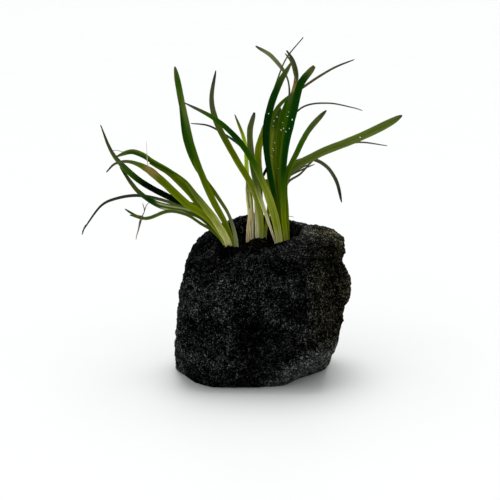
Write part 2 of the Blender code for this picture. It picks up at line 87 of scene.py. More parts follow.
class Board:
    # the nodes of one material
    def __init__(self, name, **fixed):
        self.material = bpy.data.materials.new(name)
        self.material.use_nodes = True
        self.tree = self.material.node_tree
        self.shader = self.tree.nodes["Principled BSDF"]
        for socket, value in fixed.items():
            self.shader.inputs[socket.replace("_", " ")].default_value = value

    def node(self, kind, settings=None, sockets=None, out=0):
        made = self.tree.nodes.new("ShaderNode" + kind)
        for name, value in (settings or {}).items():
            setattr(made, name, value)
        for name, value in (sockets or {}).items():
            if isinstance(value, Wire):
                self.tree.links.new(value.socket, made.inputs[name])
            elif isinstance(value, tuple) and len(made.inputs[name].default_value) == 4:
                made.inputs[name].default_value = (*value, 1)
            else:
                made.inputs[name].default_value = value
        return Wire(self, made.outputs[out])

    def place(self):
        return self.node("TexCoord", out="Object")

    def grain(self, where, scale, detail=3, rough=0.6):
        sockets = {"Vector": where, "Scale": scale, "Detail": detail, "Roughness": rough}
        return self.node("TexNoise", None, sockets)

    def unsigned(self, value):
        return self.node("Math", {"operation": "ABSOLUTE"}, {0: value})

    def between(self, value, low, high):
        # 0 below low, 1 above high, smooth between
        settings = {"interpolation_type": "SMOOTHSTEP"}
        return self.node("MapRange", settings, {"Value": value, "From Min": low, "From Max": high})

    def band(self, value, low, high):
        # the same, with low and high in millimetres
        return self.between(value, low * mm, high * mm)

    def mix(self, factor, first, second, way="MIX"):
        settings = {"data_type": "RGBA", "blend_type": way}
        return self.node("Mix", settings, {0: factor, 6: first, 7: second}, out=2)

    def parts(self, vector):
        split = self.node("SeparateXYZ", None, {0: vector})
        return [Wire(self, socket) for socket in split.socket.node.outputs]

    def reach(self, where, facing, low, high):
        # 0 to 1 from low to high, in millimetres out along the way that facing points
        sockets = {0: where, 1: Vector(facing).normalized()}
        made = self.node("VectorMath", {"operation": "DOT_PRODUCT"}, sockets, out="Value")
        return self.band(made, low, high)

    def feed(self, socket, value):
        self.tree.links.new(value.socket, self.shader.inputs[socket])

    def bump(self, height, depth, strength):
        sockets = {"Height": height, "Distance": depth * mm, "Strength": strength}
        self.feed("Normal", self.node("Bump", None, sockets))


hollow = {"x": -1.3, "y": 0.5, "halfWidth": 16.9, "halfDepth": 12.8, "squareness": 2.7, "rim": (1.20, 1.42)}

lavaZones = {
    # the way each plane faces, and how far out it starts and is full
    "planes": {
        "chamfer": ((0.499, -0.463, -0.733), 7.0, 11.5),
        "leftChamfer": ((-0.72, -0.46, -0.52), 22.5, 25.5),
        "upper": ((0.16, 0.16, 0.97), 58.5, 63.0),
        "shoulder": ((-0.60, 0.10, 0.79), 53.0, 57.5),
        "lobe": ((1, 0, 0), 34, 38),
        "strip": ((-1, 0, 0), 30, 35),
        "frontLeft": ((-1, 0, 0), 10, 17),
    },
    "right": (12, 30),
    "waviness": 20,
    "middle": {"x": 0.5, "z": 20, "squaredRadii": (40, 240)},
    "groove": {"x": 16.2, "halfWidth": (1, 3), "foot": (29, 34), "top": (51, 56)},
    # how much each zone adds to the dust and painted light, adds to the brightness, and takes from it
    "worn": {"chamfer": 1.0, "upper": 0.75, "shoulder": 0.10, "strip": 0.45},
    # the brightness on upper, strip, chamfer and leftChamfer is painted light: the top lit from above, the
    # left strip lit from the left, the down-facing chamfers lit by the floor
    "brighter": {"strip": 0.54, "frontLeft": 0.17, "right": 0.26, "upper": 1.08, "chamfer": 1.1,
                 "lobe": 0.8, "leftChamfer": 0.6},
    # the darkness in hollow and groove is painted shade in the recesses
    "darker": {"middle": 0.57, "groove": 0.51, "shoulder": 0.36, "hollow": 0.55},
}


def weighed(zones, shares):
    return sum(zones[name] * share for name, share in shares.items())


def lavaSkin():
    # black, with loose pale grains on its ridges that also serve as painted glints; ridges lightened partly
    # as painted light on the relief; dustier and lighter where the stone is broken or faces up, partly as
    # painted light; painted shade in the hollow and the groove
    board = Board("lavaSkin", Specular_IOR_Level=0.0)
    where = board.place()
    x, y, z = board.parts(where)
    patch = board.grain(where, 90, 3)
    pits = board.between(board.grain(where, 300, 2, 0.5), 0.38, 0.56)
    mottle = board.grain(where, 780, 3, 0.62)
    speck = board.grain(where, 1750, 1, 0.5)
    # high points of the mesh made lighter: partly pale dust, partly painted light on the relief
    ridge = board.between(board.node("NewGeometry", out="Pointiness"), 0.47, 0.55)
    dusty = board.between(patch, 0.36, 0.64)
    zones = {name: board.reach(where, *plane) for name, plane in lavaZones["planes"].items()}
    wavy = x + (patch - 0.5) * (lavaZones["waviness"] * mm)
    right = zones["right"] = board.band(wavy, *lavaZones["right"]) * (1 - zones["chamfer"] * 0.8)
    middle, groove = lavaZones["middle"], lavaZones["groove"]
    fromMiddle = (x - middle["x"] * mm) ** 2 + (z - middle["z"] * mm) ** 2
    zones["middle"] = 1 - board.between(fromMiddle, *(square * mm ** 2 for square in middle["squaredRadii"]))
    # painted shade in a groove: a narrow upright band around x = 16.2 mm, from z 29 to 56 mm
    zones["groove"] = 1 - board.band(board.unsigned(x - groove["x"] * mm), *groove["halfWidth"])
    zones["groove"] *= board.band(z, *groove["foot"]) * (1 - board.band(z, *groove["top"]))
    across = (x - hollow["x"] * mm) / (hollow["halfWidth"] * mm)
    back = (y - hollow["y"] * mm) / (hollow["halfDepth"] * mm)
    power = hollow["squareness"] / 2
    # painted shade on the rock inside the rim of the hollow
    zones["hollow"] = 1 - board.between((across ** 2) ** power + (back ** 2) ** power, *hollow["rim"])
    # dust, and painted light on the up-facing top, the left strip and the floor-lit chamfers
    worn = weighed(zones, lavaZones["worn"])
    # the zones' gain: painted light on the top, the left strip and the chamfers, painted shade in the hollow
    # and the groove, and tone elsewhere
    gain = 0.92 + weighed(zones, lavaZones["brighter"])
    for name, share in lavaZones["darker"].items():
        gain = gain * (1 - zones[name] * share)
    gain = gain * (0.45 + pits * 0.75)
    black = board.mix(right, tone(2, 2, 2), tone(3, 3, 2))
    dust = board.mix(right, tone(34, 35, 35), tone(38, 37, 26))
    grain = board.mix(right, tone(92, 95, 96), tone(94, 92, 75))
    haze = board.between(mottle + dusty * 0.09 + worn * 0.10, 0.49, 0.66)
    # pale grains, which also stand for painted glints, since the stone has no specular
    bright = board.between(speck + dusty * 0.075 + worn * 0.04, 0.60, 0.695)
    body = board.mix(haze * (0.20 + ridge * 0.55 + worn * 0.30), black, dust)
    shade = board.mix(bright * (0.25 + haze * 0.35 + ridge * 0.40), body, grain)
    board.feed("Base Color", board.mix(1.0, shade, gain, "MULTIPLY"))
    board.feed("Roughness", 0.95 - bright * 0.2)
    board.bump(mottle + bright * 0.35, 0.60, 0.9)
    return board.material


def crumbSkin():
    board = Board("crumbSkin", Specular_IOR_Level=0.0)
    where = board.place()
    grit = board.grain(where, 900, 4, 0.7)
    tint = board.between(board.grain(where, 260, 2), 0.42, 0.62)
    dark = board.mix(tint, tone(2, 2, 2), tone(10, 10, 7))
    board.feed("Base Color", board.mix(board.between(grit, 0.56, 0.74) * 0.4, dark, tone(46, 45, 32)))
    board.feed("Roughness", 0.78 + grit * 0.2)
    board.bump(grit, 0.4, 0.8)
    return board.material


def bladeSkin():
    # the colours along each blade are painted on its points, and veins and flecks are added here
    board = Board("bladeSkin", Specular_IOR_Level=0.02)
    painted = board.node("Attribute", {"attribute_name": "bladeColour"}, out="Color")
    route = board.node("UVMap", {"uv_map": "along"})
    where = board.place()
    along, across = board.parts(route)[:2]
    side = board.unsigned(across * 2 - 1)
    strip = board.node("CombineXYZ", None, {"X": along * 5, "Y": across * 11, "Z": 0.37})
    streak = board.grain(strip, 2.2, 3, 0.65)
    veins = board.node("Math", {"operation": "SINE"}, {0: across * 62.8}) * 0.5 + 0.5
    edge = board.between(side, 0.62, 0.95)
    core = 1 - board.between(side, 0.0, 0.16)
    blotch = board.grain(where, 230, 4, 0.7)
    deep = board.mix(1.0, painted, (0.38, 0.46, 0.20), "MULTIPLY")
    pale = board.mix(1.0, painted, (1.6, 1.55, 1.3), "MULTIPLY")
    colour = board.mix(board.between(streak, 0.36, 0.62) * 0.70 + core * 0.45, painted, deep)
    colour = board.mix(edge * 0.45 + veins * 0.10, colour, pale)
    colour = board.mix(board.between(blotch, 0.55, 0.75) * 0.35, colour, deep)
    fleck = board.node("TexVoronoi", None, {"Vector": where, "Scale": 420, "Randomness": 1.0})
    spot = 1 - board.between(fleck, 0.03, 0.09)
    colour = board.mix(spot * 0.25, colour, tone(150, 152, 112))
    board.feed("Base Color", colour)
    board.feed("Roughness", 0.46 + streak * 0.20 + spot * 0.2)
    board.bump(veins * 0.6 + streak * 0.8, 0.06, 0.6)
    return board.material


def drySkin(name, dark, light):
    # the plain mottled skins of crowns, threads, roots and flecks
    board = Board(name, Specular_IOR_Level=0.2, Roughness=0.8)
    blotch = board.grain(board.place(), 420, 4, 0.7)
    board.feed("Base Color", board.mix(board.between(blotch, 0.36, 0.62), tone(*dark), tone(*light)))
    board.bump(blotch, 0.15, 0.6)
    return board.material


def floorSkin():
    board = Board("floorSkin", Specular_IOR_Level=0.3, Roughness=0.55)
    cloud = board.grain(board.place(), 14, 4)
    board.feed("Base Color", board.mix(cloud * 0.5, tone(244, 245, 245), tone(238, 240, 240)))
    return board.material


skins = {"lava": lavaSkin(), "crumbs": crumbSkin(), "blade": bladeSkin()}
drySkins = {
    "crown": ((34, 30, 18), (104, 98, 58)),
    "withered": ((72, 62, 48), (126, 110, 84)),
    "hair": ((142, 136, 116), (196, 190, 168)),
    "root": ((62, 62, 56), (122, 122, 112)),
    "fibre": ((20, 17, 13), (62, 54, 42)),
    "lime": ((198, 204, 190), (240, 244, 236)),
}
for name, (dark, light) in drySkins.items():
    skins[name] = drySkin(name + "Skin", dark, light)
print("materials made")


def deselect():
    bpy.ops.object.select_all(action="DESELECT")


def pick(piece):
    deselect()
    piece.select_set(True)
    bpy.context.view_layer.objects.active = piece


def addObject(name, data):
    made = bpy.data.objects.new(name, data)
    bpy.context.scene.collection.objects.link(made)
    return made


def applyModifiers(piece):
    pick(piece)
    for modifier in list(piece.modifiers):
        bpy.ops.object.modifier_apply(modifier=modifier.name)


def bakePlace(piece):
    pick(piece)
    bpy.ops.object.transform_apply(location=True, rotation=True, scale=True)


def dress(piece, skin, node=None):
    piece.data.materials.clear()
    piece.data.materials.append(skins[skin])
    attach(piece, "root")
    if node:
        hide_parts(node)


def selectWhere(piece, wanted):
    # in edit mode: the points whose place passes the test
    bpy.ops.object.mode_set(mode="OBJECT")
    for point in piece.data.vertices:
        point.select = wanted(point.co)
    bpy.ops.object.mode_set(mode="EDIT")


def startEdit(piece, part="VERT", chosen="DESELECT"):
    pick(piece)
    bpy.ops.object.mode_set(mode="EDIT")
    bpy.ops.mesh.select_mode(type=part)
    bpy.ops.mesh.select_all(action=chosen)


def endEdit():
    bpy.ops.object.mode_set(mode="OBJECT")


def solidCopy(node, name, cell):
    # a closed copy of a CAD node, remade from even cells so that it can be roughened
    piece = addObject(name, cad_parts[node].data.copy())
    startEdit(piece, chosen="SELECT")
    bpy.ops.mesh.remove_doubles(threshold=0.002 * mm)
    endEdit()
    remesh = piece.modifiers.new("cells", "REMESH")
    remesh.mode = "VOXEL"
    remesh.voxel_size = cell * mm
    applyModifiers(piece)
    return piece


def roughen(piece, facts):
    # layers of grain push the points in and out, by nothing at flatBelow and in full at roughAbove
    group = piece.vertex_groups.new(name="rough")
    span = facts["roughAbove"] - facts["flatBelow"]
    for point in piece.data.vertices:
        weight = (point.co.z / mm - facts["flatBelow"]) / span
        group.add([point.index], min(max(weight, 0.0), 1.0), "REPLACE")
    for name, kind, basis, size, height in facts["layers"]:
        texture = bpy.data.textures.new(name, kind)
        texture.noise_scale = size * mm
        texture.noise_basis = basis
        if kind == "CLOUDS":
            texture.noise_depth = 2
        push = piece.modifiers.new(name, "DISPLACE")
        push.texture = texture
        push.texture_coords = "LOCAL"
        push.strength = height * mm
        push.mid_level = facts.get("level", 0.5)
        push.vertex_group = group.name
    applyModifiers(piece)


lavaRock = {
    "cell": 0.54,
    "flatBelow": 0.25,
    "roughAbove": 1.2,
    "level": 0.57,
    "layers": (
        ("lavaLumps", "CLOUDS", "ORIGINAL_PERLIN", 5.0, 1.0),
        ("lavaRidges", "STUCCI", "ORIGINAL_PERLIN", 2.2, 0.9),
        ("lavaPits", "CLOUDS", "VORONOI_F1", 1.7, 1.1),
        ("lavaGrit", "CLOUDS", "ORIGINAL_PERLIN", 0.9, 1.0),
    ),
}


def makeRock():
    piece = solidCopy("lava_rock", "lavaRock", lavaRock["cell"])
    roughen(piece, lavaRock)
    for point in piece.data.vertices:
        point.co.z = max(point.co.z, 0.0)
    piece.data.shade_smooth()
    dress(piece, "lava", "lava_rock")
    return piece


rockPiece = makeRock()
print("lava rock", len(rockPiece.data.polygons))

growingMedium = {
    "cell": 0.5,
    "flatBelow": 50.0,
    "roughAbove": 54.0,
    "layers": (
        ("mediumLumps", "CLOUDS", "ORIGINAL_PERLIN", 3.0, 1.0),
        ("mediumGrit", "CLOUDS", "VORONOI_F1", 1.2, 0.7),
    ),
    "crumbs": 620,
    "crumbSize": (0.28, 0.95),
    "heapCrumbSize": (0.45, 0.95),
    # heaps against the front of two tufts: middle across and back, half-sizes, top and number of crumbs
    "heaps": ((-15.2, -8.7, 3.3, 2.0, 58.0, 110), (8.2, -7.2, 3.6, 1.8, 58.6, 110)),
    "surface": 55.1,
    "heapGround": 54.6,
    "dropFrom": 80.0,
    "halfWidth": 15.8,
    "halfDepth": 11.8,
}


def makeMedium():
    piece = solidCopy("growing_medium", "growingMedium", growingMedium["cell"])
    roughen(piece, growingMedium)
    piece.data.shade_smooth()
    dress(piece, "crumbs", "growing_medium")
    return piece


mediumPiece = makeMedium()


def landing(piece, x, y):
    # where a crumb dropped at x, y lands on a piece, in metres, or nothing
    start = Vector((x, y, growingMedium["dropFrom"])) * mm
    hit, where = piece.ray_cast(start, Vector((0, 0, -1)))[:2]
    return where if hit else None


def makeCrumb():
    deselect()
    bpy.ops.mesh.primitive_ico_sphere_add(subdivisions=2, radius=1.0, location=(0, 0, 0))
    crumb = bpy.context.object
    crumb.name = "crumb"
    startEdit(crumb, chosen="SELECT")
    bpy.ops.transform.resize(value=(1.0, 0.78, 0.62))
    bpy.ops.transform.vertex_random(offset=0.22, seed=3)
    selectWhere(crumb, lambda place: place.x > 0.45)
    bpy.ops.transform.translate(value=(0.12, 0.10, -0.16))
    endEdit()
    return crumb


def scatterCopies(master, name, spots):
    # copies of one small shape, each with its own mesh, joined into one piece
    copies = []
    for place, turn, size in spots:
        item = addObject(name, master.data.copy())
        item.location = place
        item.rotation_euler = turn
        item.scale = size
        copies.append(item)
    deselect()
    for item in copies:
        item.select_set(True)
    bpy.context.view_layer.objects.active = copies[0]
    bpy.ops.object.join()
    bakePlace(copies[0])
    copies[0].name = name
    return copies[0]


def anyTurn():
    return tuple(chance.uniform(0, math.tau) for axis in range(3))


def crumbSpots():
    facts = growingMedium
    smallest, largest = facts["crumbSize"]
    power = hollow["squareness"]
    spots = []
    while len(spots) < facts["crumbs"]:
        x = chance.uniform(-1, 1)
        y = chance.uniform(-1, 1)
        if abs(x) ** power + abs(y) ** power > 1:
            continue
        x = hollow["x"] + x * facts["halfWidth"]
        y = hollow["y"] + y * facts["halfDepth"]
        place = landing(mediumPiece, x, y)
        if place is None:
            continue
        place.z = max(place.z, (facts["surface"] - 1.0) * mm)
        size = smallest + (largest - smallest) * chance.random() ** 2
        place.z += size * 0.25 * mm
        spots.append((place, anyTurn(), (size * mm,) * 3))
    for x, y, halfWidth, halfDepth, top, count in facts["heaps"]:
        for crumb in range(count):
            out = math.sqrt(chance.random())
            around = chance.uniform(0, math.tau)
            spot = (x + halfWidth * out * math.cos(around), y + halfDepth * out * math.sin(around))
            landings = [landing(piece, *spot) for piece in (mediumPiece, rockPiece)]
            ground = max([place.z / mm for place in landings if place], default=facts["heapGround"])
            height = ground + max(top - ground, 0.0) * (1 - out ** 2) * chance.uniform(0.3, 1.0)
            size = chance.uniform(*facts["heapCrumbSize"])
            spots.append((Vector((*spot, height)) * mm, anyTurn(), (size * mm,) * 3))
    return spots


crumbMaster = makeCrumb()
crumbPiece = scatterCopies(crumbMaster, "mediumCrumbs", crumbSpots())
dress(crumbPiece, "crumbs")
print("growing medium and crumbs", len(crumbPiece.data.polygons))

crownTuft = {
    # how far each dome rises, in steps that each go in by so much and up by a share of it
    "rises": {"crown_left": 1.5, "crown_centre": 1.6, "crown_right": 1.5, "crown_back": 1.3},
    "steps": ((0.7, 0.55), (0.8, 0.35), (0.7, 0.10)),
    "flatBelow": 0.0,
    "roughAbove": 1.0,
    "layers": (("crownScales", "CLOUDS", "ORIGINAL_PERLIN", 1.1, 0.5),),
}


def makeCrown(node, wholeRise):
    low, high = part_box(node)
    deselect()
    bpy.ops.mesh.primitive_cylinder_add(vertices=32, radius=0.5, depth=1.0, location=(low + high) / 2)
    crown = bpy.context.object
    crown.name = "tuft" + node.replace("crown_", "").title()
    crown.scale = high - low
    bakePlace(crown)
    startEdit(crown, "FACE")
    endEdit()
    for face in crown.data.polygons:
        face.select = face.normal.z > 0.9
    bpy.ops.object.mode_set(mode="EDIT")
    for inset, rise in crownTuft["steps"]:
        bpy.ops.mesh.inset(thickness=inset * mm, use_even_offset=False)
        bpy.ops.transform.translate(value=(0, 0, rise * wholeRise * mm))
    endEdit()
    smooth = crown.modifiers.new("smooth", "SUBSURF")
    smooth.levels = smooth.render_levels = 2
    applyModifiers(crown)
    roughen(crown, crownTuft)
    crown.data.shade_smooth()
    dress(crown, "crown", node)


for node, wholeRise in crownTuft["rises"].items():
    makeCrown(node, wholeRise)
print("crowns")

# the eye that the leaves' routes were drawn from
eye = {"distance": 600.0, "elevation": 13.0, "centre": (-5.2, 52.9), "width": 215.0, "sensor": 36.0}
tilt = math.radians(eye["elevation"])
upward = Vector((0, math.sin(tilt), math.cos(tilt)))
away = Vector((0, math.cos(tilt), -math.sin(tilt)))
sideways = Vector((1, 0, 0))
eyePlace = sideways * eye["centre"][0] + upward * eye["centre"][1] - away * eye["distance"]


def seen(across, up, back):
    # the point at a given depth that shows at a given place on the front drawing
    drawn = sideways * across + upward * up
    return eyePlace + (drawn - eyePlace) * ((back - eyePlace.y) / (drawn.y - eyePlace.y))


def seenRoute(knots):
    return [seen(*knot) for knot in knots]


pointsPerCurve = 25


def smoothRoute(knots):
    # one smooth way through all knots, which sets off straight up
    ways = [Vector((0, 0, 1))]
    for before, after in zip(knots, knots[2:]):
        ways.append((after - before).normalized())
    ways.append((knots[-1] - knots[-2]).normalized())
    fine = [knots[0]]
    for index in range(len(knots) - 1):
        start, end = knots[index], knots[index + 1]
        handle = (end - start).length / 3
        leaving = start + ways[index] * handle
        arriving = end - ways[index + 1] * handle
        fine.extend(interpolate_bezier(start, leaving, arriving, end, pointsPerCurve)[1:])
    return fine


def pointAlong(route, lengths, share):
    target = lengths[-1] * min(max(share, 0.0), 1.0)
    index = 0
    while index < len(route) - 2 and lengths[index + 1] < target:
        index += 1
    part = (target - lengths[index]) / max(lengths[index + 1] - lengths[index], 1e-9)
    return route[index].lerp(route[index + 1], part)


def ease(value):
    value = min(max(value, 0.0), 1.0)
    return value * value * (3 - 2 * value)


bladeForm = {
    "stations": 60,
    "cellsAcross": 6,
    "tipCrowding": 1.2,
    "nearby": 0.012,
    # the keel: beyond each place across, the strip is raised by so much more
    "keel": ((0.2, 0.09), (0.5, 0.08), (0.9, 0.03)),
    "footFold": 0.8,
    "footEnd": 0.15,
    "turnedBy": 0.5,
    "ragged": 0.07,
    "wave": 0.10,
    "stripeFade": 0.05,
    "thickness": 0.30,
    "footWidth": 0.62,
    "swellTo": 0.35,
    "bluntFrom": 0.88,
    "pointedFrom": 0.60,
    "tipShare": 0.13,
    "rootBelow": 1.6,
    "crownTop": 54.75,
}


def makeMasterBlade():
    # a flat strip with a keel, 2 long and 2 wide, that every blade is bent from
    deselect()
    cells = {"x_subdivisions": bladeForm["stations"], "y_subdivisions": bladeForm["cellsAcross"]}
    bpy.ops.mesh.primitive_grid_add(size=2, location=(0, 0, 0), **cells)
    strip = bpy.context.object
    strip.name = "masterBlade"
    strip.data.uv_layers[0].name = "along"
    startEdit(strip)
    for beyond, rise in bladeForm["keel"]:
        selectWhere(strip, lambda place: abs(place.y) > beyond)
        bpy.ops.transform.translate(value=(0, 0, rise))
    endEdit()
    return strip


masterBlade = makeMasterBlade()

palette = {
    "ivory": tone(232, 225, 190),
    "cream": tone(200, 200, 130),
    "straw": tone(222, 200, 158),
    "pink": tone(222, 192, 160),
    "lime": tone(138, 148, 50),
    "acid": tone(212, 236, 72),
    "spring": tone(112, 128, 10),
    "olive": tone(84, 104, 4),
    "green": tone(50, 88, 4),
    "deep": tone(12, 56, 2),
    "night": tone(1, 16, 2),
    "moss": tone(82, 94, 46),
    "fern": tone(92, 108, 44),
    "umber": tone(88, 80, 52),
    "slate": tone(84, 84, 68),
    "soot": tone(50, 49, 42),
    # shine: the pale colour of painted highlights on blade edges and streaks, also used at the foot of
    # leaf_left_second
    "shine": tone(206, 212, 158),
    "bark": tone(70, 50, 28),
    "dried": tone(154, 128, 76),
    "forest": tone(6, 44, 2),
    "sage": tone(118, 124, 92),
}

